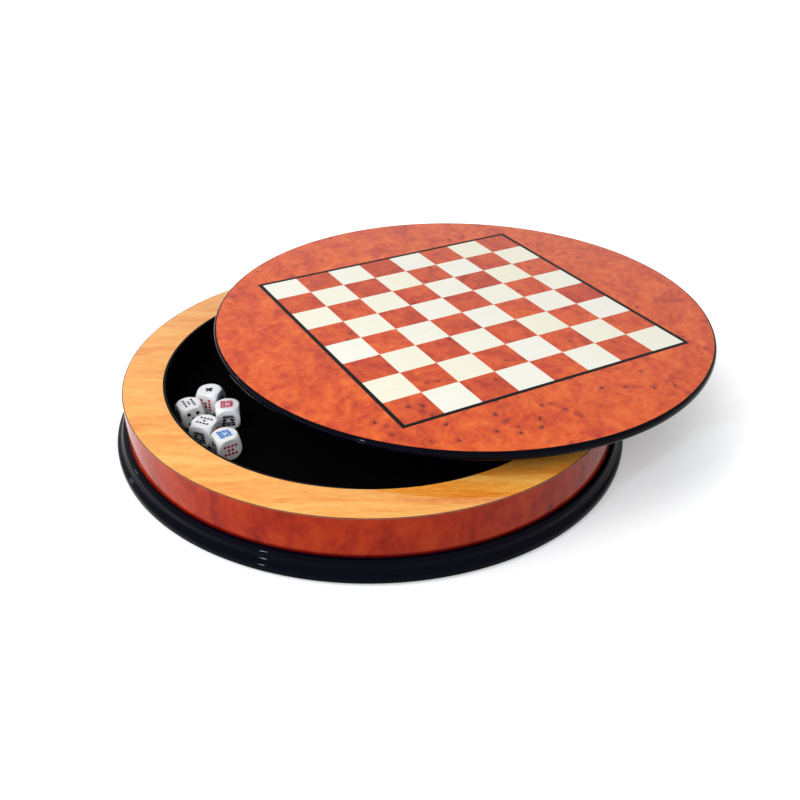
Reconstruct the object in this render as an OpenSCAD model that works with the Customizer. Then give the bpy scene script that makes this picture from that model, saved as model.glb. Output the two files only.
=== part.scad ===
// Round chessboard box: a lift-off lid carries the inlaid board, the base is a ring-walled tray
// with five poker dice in it. Millimetres, Z up, origin under the middle of the base.
// The board lies square to X and Y, with its first rank at -Y. At rest the lid lies off centre
// and level, with its locating rim on top of the tray wall.

/* [Board] */
// Side of one square of the board
square_w = 25; // [18:0.5:26.5]
// Width of the black line round the sixty-four squares
stringing_w = 2.75; // [1:0.25:4]
// Thickness of every veneer
veneer_t = 0.5; // [0.4:0.1:1]

/* [Lid] */
// Diameter of the lid over its rounded edge
lid_d = 324; // [320:0.5:420]
// Thickness of the lid, which its rounded edge takes up whole
lid_t = 5.6; // [5:0.2:9]
// How far the rounded edge stands out past the veneer
edge_bulge = 1.75; // [0.5:0.05:2.8]
// Width of the straight part of the edge band, under the veneer
edge_band_w = 3; // [2:0.5:6]
// Height of the rim under the lid that drops inside the tray wall
rim_h = 10.7; // [6:0.1:14]
// Width of that rim
rim_w = 12; // [8:0.5:20]
// Play all round between the rim and the lining of the tray
rim_play = 0.6; // [0.3:0.1:1.5]
// How many screws hold the rim to the lid
rim_screw_count = 8; // [4:2:16]
// How far the lid lies off the base's middle at rest, along X
lid_offset_x = 72.5; // [30:0.5:90]
// How far the lid lies off the base's middle at rest, along Y
lid_offset_y = 9.2; // [-30:0.1:30]

/* [Base] */
// Outer diameter of the tray wall
ring_d = 305; // [240:1:316]
// Width of the tray wall, as its light top shows it
ring_w = 24; // [21:0.5:32]
// Height of the tray wall
ring_h = 25; // [22:0.5:45]
// Thickness of the black lining on the inside of the wall
liner_t = 1.5; // [0.8:0.1:3]
// Height of the plinth board
plinth_h = 11.5; // [10:0.5:16]
// How far the plinth stands out past the wall
plinth_lip = 7.25; // [6:0.25:14]
// Thickness of the felt on the tray floor
floor_felt_t = 0.8; // [0.5:0.1:2]
// Thickness of the felt under the plinth
base_felt_t = 1; // [0.6:0.1:3]
// Width of plinth left bare round the felt under it, which covers the screws
base_felt_margin = 7; // [4:0.5:12]
// How many screws hold the wall to the plinth
base_screw_count = 8; // [4:2:12]
// Length of those screws
base_screw_l = 22; // [18:1:30]

/* [Dice] */
// Edge of one die
die_w = 14.5; // [10:0.5:16]
// Diameter of the sphere that rounds the corners, in die edges
die_sphere = 1.4; // [1.3:0.02:1.6]

/* [Hidden] */
$fn = 96;

// Gap left at glued or pressed round seats
glue_gap = 0.1;
// Depth by which a cutting shape runs past the face it cuts
past = 1;

// Levels of the base, from the table up
plinth_z = base_felt_t;
floor_z = plinth_z + plinth_h;
wall_top_z = floor_z + ring_h;
wall_core_top_z = wall_top_z - veneer_t;
dice_z = floor_z + floor_felt_t;

// Radii of the base, from the outside in
ring_r = ring_d / 2;
wall_core_r = ring_r - veneer_t - glue_gap;
plinth_r = ring_r + plinth_lip;
tray_r = ring_r - ring_w;
liner_r = tray_r - glue_gap;
liner_inner_r = liner_r - liner_t;
floor_r = liner_inner_r - glue_gap;

// Rounds of the plinth: a bead low down, and a round set back above it, which leaves a narrow
// flat ledge round the wall
bead_r = 2.6;
bead_lift = 0.2;
bead_z = bead_r + bead_lift;
foot_round_r = 1;
upper_round_r = 3;
upper_ledge = 0.75;
upper_setback = plinth_lip - upper_round_r - upper_ledge;

// Levels and radii of the lid
rim_z = wall_top_z;
lid_z = rim_z + rim_h;
lid_top_z = lid_z + lid_t;
lid_core_z = lid_z + veneer_t;
lid_core_top_z = lid_top_z - veneer_t;
lid_face_r = lid_d / 2 - edge_bulge;
lid_core_r = lid_face_r - edge_band_w;
rim_r = liner_inner_r - rim_play;

// The board
board_squares = 8;
field_w = board_squares * square_w;
frame_w = field_w + 2 * stringing_w;

// The screws of the rim, in the middle of its width
rim_screw_r = 1.2;
rim_screw_head_r = 2.4;
rim_screw_head_h = 1.2;
rim_screw_cover = 1.1;
rim_screw_l = lid_core_top_z - rim_z - rim_screw_cover;
rim_screw_circle_r = rim_r - rim_w / 2;

// The screws of the wall, in the middle of its core
base_screw_r = 1.75;
base_screw_head_r = 3.6;
base_screw_head_h = 2.4;
base_screw_circle_r = (tray_r + wall_core_r) / 2;

// Where the dice lie: the middle of the group is measured in from the tray wall, and each
// die has its place from there, outwards and round, both in die edges, and a turn in degrees
dice_bearing = 172.7;
dice_depth = 1.65;
dice_places = [[-0.3, -1.63], [0.75, -0.85], [-0.73, -0.19], [0.42, 0.73], [-0.14, 1.96]];
dice_turns = [53, 8.5, -12, 48, 10];

WOOD_BURL = [0.80, 0.34, 0.18];
WOOD_LIGHT = [0.97, 0.94, 0.80];
WOOD_RING = [0.98, 0.72, 0.42];
BOARD_CORE = [0.62, 0.48, 0.34];
LACQUER = [0.05, 0.05, 0.07];
FELT = [0.07, 0.07, 0.08];
STEEL = [0.70, 0.71, 0.73];
DIE_WHITE = [0.96, 0.96, 0.95];

// A flat ring with its bottom at z = 0
module flat_ring(outer_r, inner_r, h) {
    difference() {
        cylinder(r = outer_r, h = h);
        translate([0, 0, -past]) cylinder(r = inner_r, h = h + 2 * past);
    }
}

// Moves what is drawn about the middle of the shut lid to where the lid lies at rest
module lid_place() {
    translate([lid_offset_x, lid_offset_y, 0]) children();
}

// A countersunk screw, its head's face at z = 0 and its shank upwards
module countersunk_screw(shank_r, head_r, head_h, length) {
    cylinder(r1 = head_r, r2 = shank_r, h = head_h);
    cylinder(r = shank_r, h = length);
}

// The hole that such a screw sits in, with play all round
module countersunk_hole(shank_r, head_r, head_h, length, play) {
    translate([0, 0, -past]) cylinder(r = head_r + play, h = past);
    cylinder(r1 = head_r + play, r2 = shank_r + play, h = head_h);
    cylinder(r = shank_r + play, h = length + play);
}

module at_wall_screws() {
    for (i = [0 : base_screw_count - 1])
        rotate(i * 360 / base_screw_count)
            translate([base_screw_circle_r, 0, plinth_z]) children();
}

module at_rim_screws() {
    for (i = [0 : rim_screw_count - 1])
        rotate(i * 360 / rim_screw_count)
            translate([rim_screw_circle_r, 0, rim_z]) children();
}

module wall_screw_holes() {
    at_wall_screws()
        countersunk_hole(
            base_screw_r, base_screw_head_r, base_screw_head_h, base_screw_l, glue_gap
        );
}

module rim_screw_holes() {
    at_rim_screws()
        countersunk_hole(
            rim_screw_r, rim_screw_head_r, rim_screw_head_h, rim_screw_l, glue_gap
        );
}

// Half of the plinth's outline, from its axis out
module plinth_outline() {
    upper_r = plinth_r - upper_setback;
    upper_z = plinth_h - upper_round_r;
    bead_x = plinth_r - bead_r;
    foot_x = plinth_r - foot_round_r;
    square([bead_x, bead_z + bead_r]);
    translate([bead_x, bead_z]) circle(r = bead_r);
    translate([0, foot_round_r]) square([plinth_r, bead_z - foot_round_r]);
    translate([foot_x, foot_round_r]) circle(r = foot_round_r);
    square([foot_x, bead_z]);
    translate([0, bead_z]) square([upper_r - upper_round_r, plinth_h - bead_z]);
    translate([0, bead_z]) square([upper_r, upper_z - bead_z]);
    translate([upper_r - upper_round_r, upper_z]) circle(r = upper_round_r);
}

module base_felt() {
    color(FELT) cylinder(r = plinth_r - base_felt_margin, h = base_felt_t);
}

module plinth() {
    color(LACQUER) difference() {
        translate([0, 0, plinth_z]) rotate_extrude() plinth_outline();
        wall_screw_holes();
    }
}

module tray_wall_core() {
    color(BOARD_CORE) difference() {
        translate([0, 0, floor_z]) flat_ring(wall_core_r, tray_r, wall_core_top_z - floor_z);
        wall_screw_holes();
    }
}

module tray_wall_top_veneer() {
    color(WOOD_RING) translate([0, 0, wall_core_top_z]) flat_ring(ring_r, tray_r, veneer_t);
}

module tray_wall_side_veneer() {
    color(WOOD_BURL) translate([0, 0, floor_z])
        flat_ring(ring_r, ring_r - veneer_t, wall_core_top_z - floor_z);
}

module tray_wall_liner() {
    color(LACQUER) translate([0, 0, floor_z]) flat_ring(liner_r, liner_inner_r, ring_h);
}

module tray_floor_felt() {
    color(FELT) translate([0, 0, floor_z]) cylinder(r = floor_r, h = floor_felt_t);
}

module wall_screws() {
    color(STEEL) at_wall_screws()
        countersunk_screw(base_screw_r, base_screw_head_r, base_screw_head_h, base_screw_l);
}

module lid_core() {
    color(BOARD_CORE) lid_place() difference() {
        translate([0, 0, lid_core_z]) cylinder(r = lid_core_r, h = lid_core_top_z - lid_core_z);
        rim_screw_holes();
    }
}

// Half an oval outside, with a tongue inwards between the two veneers
module lid_edge_band() {
    nose = [
        for (turn = [-90 : 7.5 : 90])
            [lid_face_r + edge_bulge * cos(turn), lid_z + lid_t / 2 * (1 + sin(turn))]
    ];
    color(LACQUER) lid_place() rotate_extrude() polygon(concat(
        [[lid_core_r + glue_gap, lid_core_z], [lid_face_r, lid_core_z]],
        nose,
        [[lid_face_r, lid_core_top_z], [lid_core_r + glue_gap, lid_core_top_z]]
    ));
}

module lid_backing_veneer() {
    color(LACQUER) lid_place() difference() {
        translate([0, 0, lid_z]) cylinder(r = lid_face_r - glue_gap, h = veneer_t);
        rim_screw_holes();
    }
}

module burl_surround() {
    color(WOOD_BURL) lid_place() difference() {
        translate([0, 0, lid_core_top_z]) cylinder(r = lid_face_r - glue_gap, h = veneer_t);
        translate([-frame_w / 2, -frame_w / 2, lid_core_top_z - past])
            cube([frame_w, frame_w, veneer_t + 2 * past]);
    }
}

// One mitred strip of the black line, along the front for turn = 0
module stringing_strip(turn) {
    inner = field_w / 2;
    outer = frame_w / 2;
    color(LACQUER) lid_place() rotate(turn) translate([0, 0, lid_core_top_z])
        linear_extrude(veneer_t)
            polygon([[-outer, -outer], [outer, -outer], [inner, -inner], [-inner, -inner]]);
}

// The four squares of one colour in one rank; the corner at -X -Y is dark
module rank_squares(rank, light) {
    for (file = [1 : board_squares])
        if (((rank + file) % 2 == 1) == light)
            lid_place() translate([
                -field_w / 2 + (file - 1) * square_w,
                -field_w / 2 + (rank - 1) * square_w,
                lid_core_top_z
            ]) cube([square_w, square_w, veneer_t]);
}

module light_squares(rank) {
    color(WOOD_LIGHT) rank_squares(rank, true);
}

module dark_squares(rank) {
    color(WOOD_BURL) rank_squares(rank, false);
}

module lid_locating_rim() {
    color(LACQUER) lid_place() difference() {
        translate([0, 0, rim_z]) flat_ring(rim_r, rim_r - rim_w, rim_h);
        rim_screw_holes();
    }
}

module lid_rim_screws() {
    color(STEEL) lid_place() at_rim_screws()
        countersunk_screw(rim_screw_r, rim_screw_head_r, rim_screw_head_h, rim_screw_l);
}

module poker_die(index) {
    group_r = floor_r - dice_depth * die_w;
    place = dice_places[index - 1] * die_w;
    color(DIE_WHITE) rotate(dice_bearing)
        translate([group_r + place.x, place.y, dice_z + die_w / 2])
            rotate(dice_turns[index - 1]) intersection() {
                cube(die_w, center = true);
                sphere(d = die_sphere * die_w);
            }
}

base_felt();
plinth();
tray_wall_core();
tray_wall_top_veneer();
tray_wall_side_veneer();
tray_wall_liner();
tray_floor_felt();
wall_screws();
lid_core();
lid_edge_band();
lid_backing_veneer();
burl_surround();
stringing_strip(0);  // stringing_front
stringing_strip(90);  // stringing_right
stringing_strip(180);  // stringing_back
stringing_strip(270);  // stringing_left
light_squares(1);  // rank_1_light_squares
dark_squares(1);  // rank_1_dark_squares
light_squares(2);  // rank_2_light_squares
dark_squares(2);  // rank_2_dark_squares
light_squares(3);  // rank_3_light_squares
dark_squares(3);  // rank_3_dark_squares
light_squares(4);  // rank_4_light_squares
dark_squares(4);  // rank_4_dark_squares
light_squares(5);  // rank_5_light_squares
dark_squares(5);  // rank_5_dark_squares
light_squares(6);  // rank_6_light_squares
dark_squares(6);  // rank_6_dark_squares
light_squares(7);  // rank_7_light_squares
dark_squares(7);  // rank_7_dark_squares
light_squares(8);  // rank_8_light_squares
dark_squares(8);  // rank_8_dark_squares
lid_locating_rim();
lid_rim_screws();
poker_die(1);  // poker_die_1
poker_die(2);  // poker_die_2
poker_die(3);  // poker_die_3
poker_die(4);  // poker_die_4
poker_die(5);  // poker_die_5
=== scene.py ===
"""Looks of the round chessboard box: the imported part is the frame, in a white studio set."""

import itertools
import math

import bpy
from mathutils import Matrix, Vector


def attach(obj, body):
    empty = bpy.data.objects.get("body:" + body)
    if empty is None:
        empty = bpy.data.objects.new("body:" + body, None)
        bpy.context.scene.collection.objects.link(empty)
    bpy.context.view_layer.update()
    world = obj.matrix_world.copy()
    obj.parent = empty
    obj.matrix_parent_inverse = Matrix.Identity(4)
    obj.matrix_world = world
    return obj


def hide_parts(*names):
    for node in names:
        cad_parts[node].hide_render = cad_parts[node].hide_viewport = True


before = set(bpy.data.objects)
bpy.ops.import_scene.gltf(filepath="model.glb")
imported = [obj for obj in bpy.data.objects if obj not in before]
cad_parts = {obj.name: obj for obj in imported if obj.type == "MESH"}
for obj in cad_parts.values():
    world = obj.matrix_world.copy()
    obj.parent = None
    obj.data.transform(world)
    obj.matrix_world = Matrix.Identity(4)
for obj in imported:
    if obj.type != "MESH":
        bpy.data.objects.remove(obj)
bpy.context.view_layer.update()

MM = 0.001

# Sizes of the part in mm, as in its source
LID_X, LID_Y, LID_Z = 72.5, 9.2, 48.2
LID_R, LID_T = 162.0, 5.6
EDGE_BULGE, EDGE_TONGUE = 1.75, 2.9
SQUARE = 25.0
PLINTH_R, PLINTH_Z, PLINTH_H = 159.75, 1.0, 11.5
BEAD_R, BEAD_LIFT, FOOT_R, UPPER_R, UPPER_BACK = 2.6, 0.2, 1.0, 3.0, 3.5
RING_R, RING_W = 152.5, 24.0
FLOOR_Z, WALL_TOP = 12.5, 37.5
LINER_R, LINER_T = 128.4, 1.5
VENEER = 0.5
DIE_W, DIE_SPHERE, DICE_Z = 14.5, 1.4, 13.3

# Sizes in mm that only the visible shapes have: the softened edges of the wall, the round of the
# cove in the plinth, and how far the prints stand out from a die and reach into it
SOFT_EDGE = 0.25
COVE_R = 3.0
PRINT_LIFT = 0.02

# Steps round a turned shape, and round the lid's edge, which is the outline seen most
ROUND_STEPS, LID_STEPS = 256, 320
# Faces along each edge of a die, and how sharply its flats meet its rounded corners
DIE_GRID, DIE_SHARPNESS = 26, 50.0

# The camera, solved from the board's squares in the photo: place in metres, angles in degrees
CAMERA_AT = (-0.23878, -0.45670, 0.33090)
CAMERA_HEADING, CAMERA_PITCH, CAMERA_ROLL = 60.855, 31.802, 0.522
CAMERA_LENS, CAMERA_SENSOR = 42.338, 36.0
CAMERA_SHIFT = (0.00867, 0.00113)


def srgb(r, g, b):
    """A screen colour as the linear colour that shaders use."""
    parts = [c / 12.92 if c <= 0.04045 else ((c + 0.055) / 1.055) ** 2.4 for c in (r, g, b)]
    return (*parts, 1.0)


WHITE = (1.0, 1.0, 1.0, 1.0)


class Nodes:
    """A node tree, with short calls for its nodes."""

    def __init__(self, tree):
        self.tree = tree

    def put(self, socket, value):
        """Links an output to a socket, or sets the socket's own value."""
        if isinstance(value, bpy.types.NodeSocket):
            self.tree.links.new(value, socket)
        else:
            socket.default_value = value

    def node(self, kind, sockets=None, **settings):
        made = self.tree.nodes.new("ShaderNode" + kind)
        for name, value in settings.items():
            setattr(made, name, value)
        for key, value in (sockets or {}).items():
            self.put(made.inputs[key], value)
        return made

    def calc(self, operation, a, b=0.0):
        return self.node("Math", {0: a, 1: b}, operation=operation).outputs[0]

    def weighted(self, *parts):
        """The sum of values, each times its share."""
        products = [self.calc("MULTIPLY", value, share) for value, share in parts]
        total = products[0]
        for product in products[1:]:
            total = self.calc("ADD", total, product)
        return total

    def vector(self, operation, a, b=(0.0, 0.0, 0.0)):
        return self.node("VectorMath", {0: a, 1: b}, operation=operation).outputs["Vector"]

    def scaled(self, vector, *by):
        return self.vector("MULTIPLY", vector, by)

    def length(self, vector):
        return self.node("VectorMath", {0: vector}, operation="LENGTH").outputs["Value"]

    def channels(self, colour):
        """The three channels of a colour; here each is a random number."""
        return self.node("SeparateColor", {0: colour}).outputs

    def place(self, turn=0.0, centre=(0.0, 0.0, 0.0)):
        """The part's own coordinates in mm from a centre, turned so that X lies along the grain."""
        own = self.node("TexCoord").outputs["Object"]
        moved = self.vector("SUBTRACT", own, [c * MM for c in centre])
        turned = self.node(
            "Mapping",
            {"Vector": moved, "Rotation": (0, 0, math.radians(-turn)), "Scale": [1 / MM] * 3},
        )
        return turned.outputs[0]

    def noise(self, vector, scale=1.0, detail=3.0, roughness=0.5, distortion=0.0, output="Fac"):
        return self.node(
            "TexNoise",
            {"Vector": vector, "Scale": scale, "Detail": detail, "Roughness": roughness,
             "Distortion": distortion},
        ).outputs[output]

    def step(self, value, low, high, start=0.0, end=1.0):
        """A soft step from start to end, while the value goes from low to high."""
        return self.node(
            "MapRange", {0: value, 1: low, 2: high, 3: start, 4: end},
            interpolation_type="SMOOTHSTEP",
        ).outputs[0]

    def mix(self, share, a, b, blend="MIX"):
        return self.node("Mix", {0: share, 6: a, 7: b}, data_type="RGBA", blend_type=blend).outputs[2]

    def tinted(self, colour, tint):
        return self.mix(1.0, colour, tint, "MULTIPLY")

    def ramp(self, value, *stops):
        """A colour that runs through stops of (value, colour)."""
        made = self.node("ValToRGB", {0: value})
        steps = made.color_ramp.elements
        while len(steps) < len(stops):
            steps.new(0.5)
        for step, (at, colour) in zip(steps, stops):
            step.position = at
            step.color = colour
        return made.outputs[0]


class Shader(Nodes):
    """The node tree of a new material, round its principled shader."""

    def __init__(self, name, **surface):
        self.material = bpy.data.materials.new(name)
        self.material.use_nodes = True
        super().__init__(self.material.node_tree)
        self.surface = self.tree.nodes["Principled BSDF"]
        self.finish(**surface)

    def finish(self, **sockets):
        """Fills sockets of the principled shader; an underscore stands for a space."""
        for name, value in sockets.items():
            self.put(self.surface.inputs[name.replace("_", " ")], value)

    def bump(self, height, depth):
        """Relief of a depth in mm, from a height of 0 to 1."""
        sockets = {"Height": height, "Strength": 1.0, "Distance": depth * MM}
        self.finish(Normal=self.node("Bump", sockets).outputs[0])


# The burl's tones from dark to pale, and its eyes with the halo round each
BURL_TONES = (
    (0.30, srgb(0.64, 0.13, 0.02)), (0.43, srgb(0.82, 0.26, 0.04)),
    (0.54, srgb(0.91, 0.36, 0.08)), (0.70, srgb(0.97, 0.48, 0.16)),
)
BURL_EYE = srgb(0.34, 0.03, 0.06)
BURL_HALO = srgb(0.60, 0.13, 0.05)

# Blotches, clouds and flecks of the burl: repeats per mm along, across and down, the noise's
# own settings, and the share of each in the tone
BURL_LAYERS = (
    ((0.080, 0.052, 0.08), {"detail": 3.0, "roughness": 0.5, "distortion": 0.6}, 0.45),
    ((0.23, 0.15, 0.2), {"detail": 3.0, "roughness": 0.55, "distortion": 0.35}, 0.37),
    ((0.62, 0.40, 0.5), {"detail": 4.0, "roughness": 0.6}, 0.18),
)
# The push that bends the figure: repeats per mm, and mm from its one extreme to the other
DRIFT_REPEATS = (0.035, 0.05, 0.035)
DRIFT_REACH = (14, 12, 0)

# Cells that the eyes lie in, small and large: a cell's width in mm, and the share left empty
EYE_CELLS = ((7.0, 0.66), (12.0, 0.55))
# Cells in that width along, across and down
EYE_REPEATS = (1.1, 0.8, 1.0)
# How far from its middle, in mm, an eye or its halo begins to show and where it is full
EYE_FADE = (1.5, 0.5)
HALO_FADE = (3.6, 0.8)
HALO_STRENGTH = 0.55
# Patches that hold the eyes: repeats per mm, where they begin and are full in their noise, and
# how strongly the eyes show outside them
PATCH_REPEATS = (0.014, 0.014, 0.014)
PATCH_FADE = (0.46, 0.60)
EYES_OUTSIDE = 0.12


def burl_eyes(s, p, width, empty, share):
    """Halos and dark eyes, one in some of the cells of a width in mm."""
    place = s.scaled(p, *[repeats / width for repeats in EYE_REPEATS])
    cell = s.node("TexVoronoi", {"Vector": place, "Scale": 1.0})
    chance = s.channels(cell.outputs["Color"])[0]
    wanted = s.calc("MULTIPLY", s.step(chance, empty, empty + 0.04), share)
    away = cell.outputs["Distance"]
    halo = s.calc("MULTIPLY", s.step(away, *[r / width for r in HALO_FADE]), wanted)
    eye = s.calc("MULTIPLY", s.step(away, *[r / width for r in EYE_FADE]), wanted)
    return s.calc("MULTIPLY", halo, HALO_STRENGTH), eye


def burl_colour(s, p, eyes):
    """Burl figure at point p in mm: blotches, clouds, flecks, and eyes of a strength."""
    drift = s.noise(s.scaled(p, *DRIFT_REPEATS), detail=2.0, output="Color")
    drift = s.vector("SUBTRACT", drift, (0.5, 0.5, 0.5))
    q = s.vector("ADD", p, s.scaled(drift, *DRIFT_REACH))
    layers = [(s.noise(s.scaled(q, *repeats), **settings), share)
              for repeats, settings, share in BURL_LAYERS]
    colour = s.ramp(s.weighted(*layers), *BURL_TONES)
    patch = s.noise(s.scaled(p, *PATCH_REPEATS), detail=1.0)
    share = s.calc("MULTIPLY", s.step(patch, *PATCH_FADE, EYES_OUTSIDE, 1.0), eyes)
    for width, empty in EYE_CELLS:
        halo, eye = burl_eyes(s, q, width, empty, share)
        colour = s.mix(eye, s.mix(halo, colour, BURL_HALO), BURL_EYE)
    return colour


# The way that the grain of the lid and the ring runs, in degrees from X
GRAIN = -29.0


def lacquered(name, coat_ior):
    """Wood under a clear lacquer; only the lacquer shines."""
    return Shader(
        name, Roughness=0.6, Specular_IOR_Level=0.0, Coat_Weight=1.0,
        Coat_Roughness=0.03, Coat_IOR=coat_ior,
    )


def burl_lid():
    """The burl round the board, in one piece."""
    s = lacquered("burl_lid", 1.3)
    s.finish(Base_Color=burl_colour(s, s.place(GRAIN), 0.95))
    return s.material


def burl_band():
    """The burl round the wall, laid out by angle and height: browner, with painted shade along its
    foot where it meets the plinth.
    """
    s = lacquered("burl_band", 1.22)
    x, y, z = s.node("SeparateXYZ", {0: s.place()}).outputs
    along = s.calc("MULTIPLY", s.calc("ARCTAN2", y, x), RING_R)
    rolled = s.node("CombineXYZ", {0: along, 1: z, 2: 7.0}).outputs[0]
    colour = burl_colour(s, s.scaled(rolled, 0.8, 0.7, 1.0), 0.7)
    browner = s.tinted(colour, srgb(0.72, 0.52, 0.36))
    # Painted shade: the lowest few mm of the band darken to a deep red, standing in for the shadow
    # where it meets the plinth
    foot = s.step(z, FLOOR_Z + 3.2, FLOOR_Z + 0.4)
    s.finish(Base_Color=s.mix(foot, browner, srgb(0.35, 0.02, 0.02)))
    return s.material


def cell_of(s, p):
    """A random colour for each square of the board, with p measured from its middle."""
    number = s.vector("FLOOR", s.scaled(p, 1 / SQUARE, 1 / SQUARE, 0))
    return s.node("TexWhiteNoise", {"Vector": number}, noise_dimensions="3D").outputs["Color"]


def burl_squares():
    """The dark squares: each is its own cut of burl, with its own turn and tint."""
    s = lacquered("burl_squares", 1.3)
    board = s.place(0.0, (LID_X, LID_Y, 0.0))
    chance = cell_of(s, board)
    first, second, _ = s.channels(chance)
    turn = s.calc("ADD", s.calc("MULTIPLY", s.calc("SUBTRACT", first, 0.5), 2.2), 0.5)
    turned = s.node("VectorRotate", {"Vector": board, "Angle": turn}).outputs[0]
    p = s.vector("ADD", turned, s.scaled(chance, 900, 700, 500))
    tint = s.mix(second, srgb(0.92, 0.80, 0.86), WHITE)
    s.finish(Base_Color=s.tinted(burl_colour(s, p, 0.8), tint))
    return s.material


def ivory_squares():
    """The pale squares: each has its own tone and its own cut of a fine straight grain."""
    s = lacquered("ivory_squares", 1.38)
    board = s.place(0.0, (LID_X, LID_Y, 0.0))
    chance = cell_of(s, board)
    tone = s.channels(chance)[0]
    colour = s.mix(tone, srgb(0.985, 0.98, 0.94), srgb(0.985, 0.965, 0.87))
    p = s.vector("ADD", board, s.scaled(chance, 400, 900, 300))
    fibre = s.noise(s.scaled(p, 0.04, 0.5, 0.1), detail=3.0)
    darker = s.step(fibre, 0.45, 0.75, 0.0, 0.35)
    s.finish(Base_Color=s.mix(darker, colour, srgb(0.95, 0.92, 0.78)))
    return s.material


def ring_veneer():
    """Light straight-grained veneer with a dark line along the outer edge of the ring."""
    s = lacquered("ring_veneer", 1.55)
    p = s.place(GRAIN)
    band = s.noise(s.scaled(p, 0.010, 0.08, 0.05), detail=3.0, roughness=0.5, distortion=0.8)
    fibre = s.noise(s.scaled(p, 0.14, 0.9, 0.2), detail=4.0, roughness=0.65, distortion=0.6)
    colour = s.ramp(
        s.weighted((band, 0.5), (fibre, 0.5)),
        (0.36, srgb(0.89, 0.50, 0.14)), (0.48, srgb(0.96, 0.63, 0.24)),
        (0.60, srgb(0.98, 0.72, 0.35)),
    )
    out = s.length(s.scaled(s.place(), 1, 1, 0))
    edge = s.step(out, RING_R - 0.75, RING_R - 0.45, 0.0, 0.9)
    s.finish(Base_Color=s.mix(edge, colour, srgb(0.36, 0.08, 0.02)))
    return s.material


def black_lacquer():
    """Polished black lacquer: a faint orange peel and a little uneven haze."""
    s = Shader("black_lacquer", Base_Color=srgb(0.01, 0.01, 0.05), Specular_IOR_Level=0.045)
    p = s.place()
    s.finish(Roughness=s.step(s.noise(p, scale=0.05, detail=3.0), 0.3, 0.7, 0.03, 0.07))
    s.bump(s.noise(p, scale=0.35, detail=1.0), 0.003)
    return s.material


def black_string():
    """Dyed veneer strips: near black, with a fine grain."""
    s = Shader("black_string", Roughness=0.35, Specular_IOR_Level=0.05)
    grain = s.noise(s.place(), scale=0.9, detail=4.0)
    s.finish(Base_Color=s.ramp(grain, (0.35, srgb(0.04, 0.03, 0.04)), (0.65, srgb(0.10, 0.08, 0.09))))
    return s.material


def steel():
    """Zinc-plated screw heads, turned, so finely marked."""
    s = Shader("steel", Base_Color=srgb(0.72, 0.73, 0.75), Metallic=1.0)
    marks = s.noise(s.scaled(s.place(), 1.0, 6.0, 1.0), scale=1.5, detail=3.0)
    s.finish(Roughness=s.step(marks, 0.3, 0.7, 0.22, 0.42))
    s.bump(marks, 0.01)
    return s.material


def die_plastic():
    """White acrylic: clouded a little, polished, with faint scuffs."""
    s = Shader("die_plastic", Specular_IOR_Level=0.5, Coat_Weight=0.3, Coat_Roughness=0.05)
    p = s.place()
    cloud = s.noise(p, scale=0.12, detail=2.0)
    s.finish(Base_Color=s.ramp(cloud, (0.3, srgb(0.94, 0.94, 0.95)), (0.7, srgb(0.98, 0.98, 0.98))))
    s.finish(Roughness=s.step(s.noise(p, scale=0.9, detail=4.0), 0.4, 0.75, 0.14, 0.34))
    return s.material


def ink(name, colour):
    """A die's printing ink, a little thin in places."""
    s = Shader(f"ink_{name}", Roughness=0.4, Specular_IOR_Level=0.3)
    thin = s.step(s.noise(s.place(), scale=1.6, detail=3.0), 0.58, 0.9, 0.0, 0.25)
    s.finish(Base_Color=s.mix(thin, colour, srgb(0.93, 0.93, 0.93)))
    return s.material


def felt():
    """Matt black felt."""
    s = Shader("felt", Roughness=1.0, Specular_IOR_Level=0.0)
    grain = s.noise(s.place(), scale=2.5, detail=2.0)
    s.finish(Base_Color=s.ramp(grain, (0.3, srgb(0.01, 0.01, 0.012)), (0.7, srgb(0.05, 0.05, 0.055))))
    return s.material


def core_board():
    """Raw fibreboard."""
    s = Shader("core_board", Roughness=0.8, Specular_IOR_Level=0.2)
    grain = s.noise(s.place(), scale=1.4, detail=4.0)
    s.finish(Base_Color=s.ramp(grain, (0.3, srgb(0.50, 0.37, 0.24)), (0.7, srgb(0.68, 0.54, 0.38))))
    return s.material


LACQUER, STRING = black_lacquer(), black_string()
STEEL, DIE = steel(), die_plastic()
INKS = {
    "black": ink("black", srgb(0.04, 0.04, 0.06)),
    "red": ink("red", srgb(0.76, 0.05, 0.22)),
    "blue": ink("blue", srgb(0.08, 0.48, 0.80)),
}
FELT, CORE, RING = felt(), core_board(), ring_veneer()
BURL_TOP, BURL_SIDE = burl_lid(), burl_band()
DARK_SQUARE, LIGHT_SQUARE = burl_squares(), ivory_squares()

NODE_LOOKS = {
    "base_felt": FELT, "plinth": LACQUER, "tray_wall_core": CORE, "tray_wall_top_veneer": RING,
    "tray_wall_side_veneer": BURL_SIDE, "tray_wall_liner": LACQUER, "tray_floor_felt": FELT,
    "wall_screws": STEEL, "lid_core": CORE, "lid_edge_band": LACQUER,
    "lid_backing_veneer": LACQUER, "burl_surround": BURL_TOP, "lid_locating_rim": LACQUER,
    "lid_rim_screws": STEEL,
}


def node_look(name):
    """The material of a node of the part, by its name; the nodes left over are the dice."""
    if name.startswith("stringing"):
        return STRING
    if name.endswith("light_squares"):
        return LIGHT_SQUARE
    if name.endswith("dark_squares"):
        return DARK_SQUARE
    return NODE_LOOKS.get(name, DIE)


def paint(obj, material):
    obj.data.materials.clear()
    obj.data.materials.append(material)


def link_mesh(name, verts, faces):
    """A new object in the scene, from points in metres."""
    mesh = bpy.data.meshes.new(name)
    mesh.from_pydata(verts, [], faces)
    obj = bpy.data.objects.new(name, mesh)
    bpy.context.scene.collection.objects.link(obj)
    return obj


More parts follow.
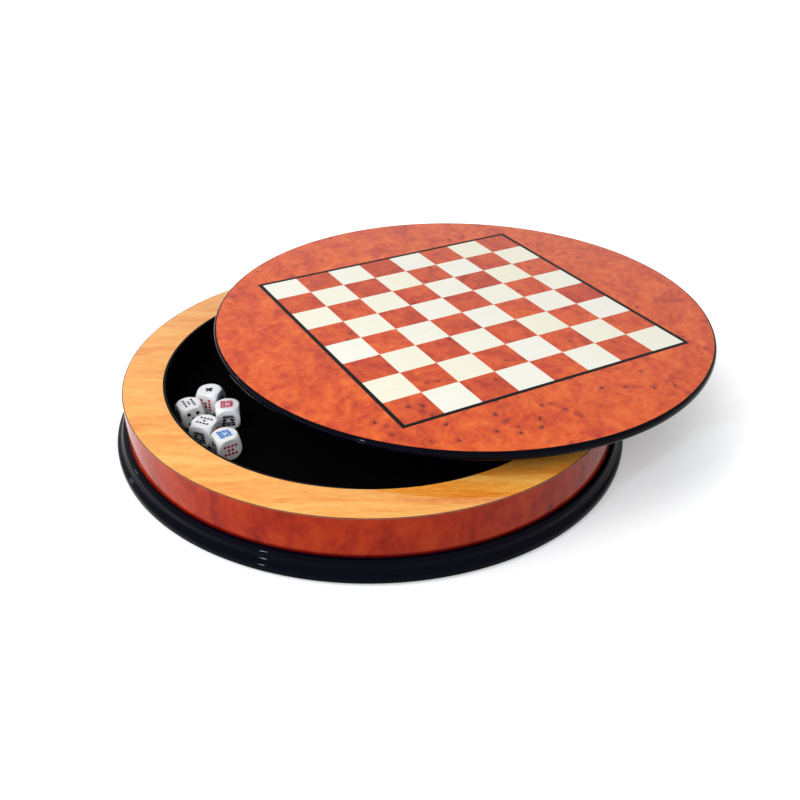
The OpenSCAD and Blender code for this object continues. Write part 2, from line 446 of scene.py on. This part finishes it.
def new_piece(name, shape, material, body, smooth=None, replaces=()):
    """A mesh from points and faces in mm, as a piece that rides on a body of the part.

    Edges that turn by less than smooth degrees are shaded as rounded.
    """
    verts, faces = shape
    obj = link_mesh(name, [[c * MM for c in v] for v in verts], faces)
    obj.data.validate()
    if smooth is not None:
        obj.data.shade_smooth()
        obj.data.set_sharp_from_angle(angle=math.radians(smooth))
    paint(obj, material)
    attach(obj, body)
    if replaces:
        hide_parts(*replaces)


def circle(r, z, centre, steps):
    """Points of a level circle, or its middle alone where it has no radius."""
    if r == 0:
        return [(centre[0], centre[1], z)]
    turns = [2 * math.pi * i / steps for i in range(steps)]
    return [(centre[0] + r * math.cos(a), centre[1] + r * math.sin(a), z) for a in turns]


def lathe(outline, centre=(0.0, 0.0), steps=ROUND_STEPS, closed=True):
    """Points and faces of an outline of (radius, height) turned round an upright axis."""
    verts, rows = [], []
    for r, z in outline:
        points = circle(r, z, centre, steps)
        rows.append([len(verts) + i % len(points) for i in range(steps)])
        verts += points
    pairs = zip(rows, rows[1:] + rows[:1]) if closed else zip(rows, rows[1:])
    faces = []
    for low, high in pairs:
        for i in range(steps):
            j = (i + 1) % steps
            corners = [low[i], low[j], high[j], high[i]]
            face = [c for k, c in enumerate(corners) if c != corners[k - 1]]
            if len(face) > 2:
                faces.append(face)
    return verts, faces


def arc(r, z, radius, start, end, steps=12):
    """Points of an arc in an outline, from one angle to another in degrees."""
    turns = [math.radians(start + (end - start) * i / steps) for i in range(steps + 1)]
    return [(r + radius * math.cos(t), z + radius * math.sin(t)) for t in turns]


def plinth():
    """The turned plinth: a bead, a soft cove that runs up into a short upright, and a round."""
    bead_z = PLINTH_Z + BEAD_R + BEAD_LIFT
    top = PLINTH_Z + PLINTH_H
    aside = BEAD_R - UPPER_BACK + COVE_R
    above = math.sqrt((BEAD_R + COVE_R) ** 2 - aside ** 2)
    meet = math.degrees(math.atan2(above, aside))
    upper_x = PLINTH_R - UPPER_BACK
    outline = [(0.0, PLINTH_Z)]
    outline += arc(PLINTH_R - FOOT_R, PLINTH_Z + FOOT_R, FOOT_R, -90, 0, 6)
    outline += arc(PLINTH_R - BEAD_R, bead_z, BEAD_R, 0, meet, 14)
    outline += arc(upper_x + COVE_R, bead_z + above, COVE_R, meet + 180, 180, 10)[1:]
    outline += arc(upper_x - UPPER_R, top - UPPER_R, UPPER_R, 0, 90, 12)
    outline.append((0.0, top))
    shape = lathe(outline, closed=False)
    new_piece("plinth_turned", shape, LACQUER, "base", 40, ["plinth"])


def wall_top():
    """The ring of light veneer, its outer edge a little soft."""
    under, inner = WALL_TOP - VENEER, RING_R - RING_W
    outline = [(inner, under), (RING_R, under)]
    outline += arc(RING_R - SOFT_EDGE, WALL_TOP - SOFT_EDGE, SOFT_EDGE, 0, 90, 5)
    outline += [(inner, WALL_TOP)]
    shape = lathe(outline)
    new_piece("wall_top", shape, RING, "base", 50, ["tray_wall_top_veneer"])


def wall_side():
    """The burl veneer round the wall, up to the ring's underside."""
    top, inner = WALL_TOP - VENEER, RING_R - VENEER
    shape = lathe([(inner, FLOOR_Z), (RING_R, FLOOR_Z), (RING_R, top), (inner, top)])
    new_piece("wall_side", shape, BURL_SIDE, "base", 30, ["tray_wall_side_veneer"])


def wall_lining():
    """The black lining of the wall, its inner edge a little soft."""
    inner = LINER_R - LINER_T
    outline = [(LINER_R, FLOOR_Z), (LINER_R, WALL_TOP)]
    outline += arc(inner + SOFT_EDGE, WALL_TOP - SOFT_EDGE, SOFT_EDGE, 90, 180, 5)
    outline += [(inner, FLOOR_Z)]
    shape = lathe(outline)
    new_piece("wall_lining", shape, LACQUER, "base", 50, ["tray_wall_liner"])


def lid_edge():
    """The band round the lid: half an oval outside, and a tongue between the two veneers."""
    half, face = LID_T / 2, LID_R - EDGE_BULGE
    low, high = LID_Z + VENEER, LID_Z + LID_T - VENEER
    nose = [(face + EDGE_BULGE * out, LID_Z + half + half * up)
            for out, up in arc(0, 0, 1, -90, 90, 24)]
    outline = [(face - EDGE_TONGUE, low), (face, low)] + nose
    outline += [(face, high), (face - EDGE_TONGUE, high)]
    shape = lathe(outline, (LID_X, LID_Y), LID_STEPS)
    new_piece("lid_edge", shape, LACQUER, "lid", 50, ["lid_edge_band"])


# Each die: its middle in mm, its turn in degrees, and what is printed on its top, on its four
# sides from the turn on, and underneath, as (figure, ink, turn of the figure)
DICE = {
    1: ((-94.75, 36.0), 225.7, [("ace", "black", 70), ("ten", "red", 90), ("king", "blue", 0),
        ("nine", "black", 0), ("queen", "red", 0), ("jack", "black", 0)]),
    2: ((-111.3, 26.7), 181.2, [("ten", "black", 90), ("king", "black", 0), ("dots", "black", 0),
        ("queen", "red", 0), ("nine", "red", 0), ("jack", "blue", 0)]),
    3: ((-91.2, 14.5), 160.7, [("queen", "red", 90), ("ten", "red", 0), ("king", "black", 0),
        ("ace", "black", 0), ("nine", "black", 0), ("jack", "blue", 0)]),
    4: ((-109.5, 3.3), 220.7, [("nine", "black", 90), ("king", "black", 0), ("queen", "red", 0),
        ("ace", "black", 0), ("ten", "red", 0), ("jack", "blue", 0)]),
    5: ((-103.7, -15.4), 182.7, [("jack", "blue", 90), ("king", "black", 0), ("ten", "red", 0),
        ("queen", "red", 0), ("nine", "black", 0), ("ace", "black", 0)]),
}


def disc(x, y, r, steps=14):
    """The outline of a disc."""
    turns = [2 * math.pi * i / steps for i in range(steps)]
    return [(x + r * math.cos(a), y + r * math.sin(a)) for a in turns]


def pips(counts, r, pitch=2.2, rise=2.6):
    """Rows of pips of a radius, such as four, two and four, with their spacing in mm."""
    shapes = []
    for row, count in enumerate(counts):
        for i in range(count):
            shapes.append(disc((i - (count - 1) / 2) * pitch, (1 - row) * rise, r))
    return shapes


def club():
    """A club: three leaves and a stem."""
    leaf = 1.2
    stem = [(-0.9, -2.8), (0.9, -2.8), (0.25, 0.4), (-0.25, 0.4)]
    return [disc(0, 1.2, leaf), disc(-1.4, -0.55, leaf), disc(1.4, -0.55, leaf), stem]


def both_sides(*shapes):
    """Each shape mirrored to the left, and as it is on the right."""
    return [[(side * x, y) for x, y in shape] for shape in shapes for side in (-1, 1)]


def crown(points):
    """The outline of a crown with a number of points."""
    half, foot, dip, tip = 3.2, 2.0, 2.8, 4.0
    step = 2 * half / (points - 1)
    outline = [(-half, foot)]
    for i in range(points):
        outline += [(-half + i * step, tip), (-half + (i + 0.5) * step, dip)]
    return outline[:-1] + [(half, foot)]


def court(points):
    """A plain crowned half figure; kings, queens and jacks differ in the crown's points."""
    brow = [(-3.0, 1.3), (3.0, 1.3), (3.0, 1.85), (-3.0, 1.85)]
    mouth = [(-0.8, -0.6), (0.8, -0.6), (0.5, -0.1), (-0.5, -0.1)]
    hair = [(0.95, 1.15), (3.0, 1.15), (3.6, -1.0), (1.5, -0.8)]
    shoulder = [(0.9, -1.1), (3.8, -1.2), (4.0, -2.5), (1.3, -2.4)]
    sleeve = [(1.4, -2.6), (4.0, -2.7), (4.0, -4.0), (1.8, -4.0)]
    lapel = [(0.1, -0.9), (0.75, -0.95), (1.5, -4.0), (0.1, -4.0)]
    eye = disc(0.5, 0.7, 0.28, 8)
    beads = [disc(3.7, 1.9, 0.5, 8), disc(3.9, 0.4, 0.45, 8)]
    sides = both_sides(hair, shoulder, sleeve, lapel, eye, *beads)
    return [crown(points), brow, *sides, mouth]


PIP_R, DOT_R = 0.88, 1.2
FIGURES = {
    "ace": club(), "king": court(5), "queen": court(4), "jack": court(3),
    "ten": pips((4, 2, 4), PIP_R), "nine": pips((4, 1, 4), PIP_R),
    "dots": pips((2, 1, 2), DOT_R, 5.4, 3.4),
}


def cube_grid(n):
    """The side, -1 or 1, and the four corners of each face of a cube cut n by n on every side."""
    for axis, side, i, j in itertools.product(range(3), (-1, 1), range(n), range(n)):
        corners = []
        for a, b in ((i, j), (i + 1, j), (i + 1, j + 1), (i, j + 1)):
            corner = [0.0, 0.0, 0.0]
            corner[axis] = side
            corner[(axis + 1) % 3] = 2 * a / n - 1
            corner[(axis + 2) % 3] = 2 * b / n - 1
            corners.append(tuple(corner))
        yield side, corners


def die_surface(direction):
    """The point of a cube cut to a sphere that lies in a direction, in die edges."""
    out = Vector(direction).normalized()
    flat = 0.5 / max(abs(c) for c in out)
    rounded = DIE_SPHERE / 2
    reach = (flat ** -DIE_SHARPNESS + rounded ** -DIE_SHARPNESS) ** (-1 / DIE_SHARPNESS)
    return out * reach


def die_body(centre, turn):
    """A cube cut to a sphere, its edges a little soft, from a fine grid on each side."""
    spin = Matrix.Rotation(math.radians(turn), 3, "Z")
    middle_z = DICE_Z + DIE_W / 2
    verts, faces, numbers = [], [], {}
    for side, corners in cube_grid(DIE_GRID):
        for corner in corners:
            if corner not in numbers:
                at = spin @ (die_surface(corner) * DIE_W)
                numbers[corner] = len(verts)
                verts.append((centre[0] + at.x, centre[1] + at.y, middle_z + at.z))
        face = [numbers[corner] for corner in corners]
        faces.append(face if side > 0 else face[::-1])
    return verts, faces


def face_axes(turn, side):
    """Normal, right and up of a die's face: 0 is the top, 1 to 4 the sides, 5 the bottom."""
    up = Vector((0, 0, 1))
    if side in (0, 5):
        out = up if side == 0 else -up
        right = Vector((math.cos(math.radians(turn)), math.sin(math.radians(turn)), 0))
        return out, right, out.cross(right)
    a = math.radians(turn + 90 * (side - 1))
    out = Vector((math.cos(a), math.sin(a), 0))
    return out, up.cross(out), up


def anticlockwise(shape):
    """An outline with its points in anticlockwise order."""
    area = sum(x0 * y1 - x1 * y0 for (x0, y0), (x1, y1) in zip(shape, shape[1:] + shape[:1]))
    return shape if area > 0 else shape[::-1]


def printed(shapes, middle, axes, roll):
    """Prints a hair proud of a face, without a back, from outlines in the face's plane."""
    out, right, up = axes
    c, s = math.cos(math.radians(roll)), math.sin(math.radians(roll))
    verts, faces = [], []
    for shape in shapes:
        first, count = len(verts), len(shape)
        for lift in (-PRINT_LIFT, PRINT_LIFT):
            for x, y in anticlockwise(shape):
                at = middle + out * (DIE_W / 2 + lift)
                at = at + right * (x * c - y * s) + up * (x * s + y * c)
                verts.append(tuple(at))
        faces.append([first + count + i for i in range(count)])
        for i in range(count):
            j = (i + 1) % count
            faces.append([first + i, first + j, first + count + j, first + count + i])
    return verts, faces


def dice():
    """The five dice, each with its prints."""
    for number, (centre, turn, marks) in DICE.items():
        body, node = f"die_{number}", f"poker_die_{number}"
        new_piece(f"{node}_round", die_body(centre, turn), DIE, body, 60, [node])
        middle = Vector((centre[0], centre[1], DICE_Z + DIE_W / 2))
        for side, (figure, colour, roll) in enumerate(marks):
            shape = printed(FIGURES[figure], middle, face_axes(turn, side), roll)
            new_piece(f"{node}_print_{side}_{figure}", shape, INKS[colour], body)


# How much brighter than its lit colour the floor is shown, near the box and far from it where
# the lamps fade, the distances in metres between which that changes, and the floor's half width
FLOOR_LIFT, FAR_LIFT = 0.30, 0.70
LIFT_FROM, LIFT_TO = 0.15, 0.32
FLOOR_REACH = 6.0
# The plain light from all round
AMBIENT = 0.43


def shown(nodes):
    """1 for rays from the camera and those off shiny or through clear surfaces, else 0."""
    path = nodes.node("LightPath").outputs
    seen = nodes.calc("MAXIMUM", path["Is Camera Ray"], path["Is Glossy Ray"])
    return nodes.calc("MAXIMUM", seen, path["Is Transmission Ray"])


def floor():
    """A plain white table that keeps the box's shadow."""
    r = FLOOR_REACH
    obj = link_mesh("floor", [(-r, -r, 0), (r, -r, 0), (r, r, 0), (-r, r, 0)], [(0, 1, 2, 3)])
    s = Shader(
        "floor_white", Base_Color=(0.80, 0.80, 0.80, 1.0), Roughness=0.9,
        Specular_IOR_Level=0.0, Emission_Color=WHITE,
    )
    away = s.length(s.node("TexCoord").outputs["Object"])
    lift = s.step(away, LIFT_FROM, LIFT_TO, FLOOR_LIFT, FAR_LIFT)
    s.finish(Emission_Strength=s.calc("MULTIPLY", shown(s), lift))
    paint(obj, s.material)


def surroundings():
    """A plain white background, and a plain weaker light from all round."""
    world = bpy.data.worlds.new("studio")
    bpy.context.scene.world = world
    world.use_nodes = True
    world.node_tree.nodes.clear()
    s = Nodes(world.node_tree)
    light = s.node("Background", {"Color": WHITE, "Strength": AMBIENT})
    background = s.node("Background", {"Color": WHITE, "Strength": 1.0})
    both = s.node("MixShader", {0: shown(s), 1: light.outputs[0], 2: background.outputs[0]})
    s.node("OutputWorld", {"Surface": both.outputs[0]})


# Each lamp: its heading and height in degrees, its distance and width in metres, its power in
# watts, and whether glossy surfaces mirror it
LAMPS = {
    "left_softbox": (180, 46, 1.1, 0.6, 4.4, False),
    "front_softbox": (222, 42, 1.6, 0.8, 6.4, False),
    "top_softbox": (120, 72, 2.0, 1.2, 3.4, False),
    "spark": (201, 20, 1.2, 0.055, 4.0, True),
    "streak": (129, 21, 1.2, 0.05, 0.4, True),
}
SOFT_LIGHT, SPARK_LIGHT = (1.0, 1.0, 1.0), (0.65, 0.82, 1.0)


def lamp(name, heading, height, distance, size, power, mirrored):
    """A round lamp, aimed at the box."""
    data = bpy.data.lights.new(name, "AREA")
    data.shape = "DISK"
    data.size = size
    data.energy = power
    data.color = SPARK_LIGHT if mirrored else SOFT_LIGHT
    obj = bpy.data.objects.new(name, data)
    bpy.context.scene.collection.objects.link(obj)
    a, h = math.radians(heading), math.radians(height)
    out = Vector((math.cos(a) * math.cos(h), math.sin(a) * math.cos(h), math.sin(h)))
    obj.location = out * distance
    obj.rotation_mode = "QUATERNION"
    obj.rotation_quaternion = out.to_track_quat("Z", "Y")
    obj.visible_glossy = mirrored


def camera():
    """The photo's camera."""
    data = bpy.data.cameras.new("photo_camera")
    data.lens = CAMERA_LENS
    data.sensor_width = CAMERA_SENSOR
    data.shift_x, data.shift_y = CAMERA_SHIFT
    data.clip_start = 0.01
    obj = bpy.data.objects.new("photo_camera", data)
    bpy.context.scene.collection.objects.link(obj)
    turn = Matrix.Rotation(math.radians(CAMERA_HEADING - 90), 4, "Z")
    tilt = Matrix.Rotation(math.radians(90 - CAMERA_PITCH), 4, "X")
    roll = Matrix.Rotation(math.radians(CAMERA_ROLL), 4, "Z")
    obj.matrix_world = Matrix.Translation(CAMERA_AT) @ turn @ tilt @ roll
    bpy.context.scene.camera = obj


for node_name, cad_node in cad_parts.items():
    paint(cad_node, node_look(node_name))
plinth()
wall_top()
wall_side()
wall_lining()
lid_edge()
dice()

floor()
surroundings()
for lamp_name, settings in LAMPS.items():
    lamp(lamp_name, *settings)
camera()
bpy.context.scene.view_settings.view_transform = "Standard"
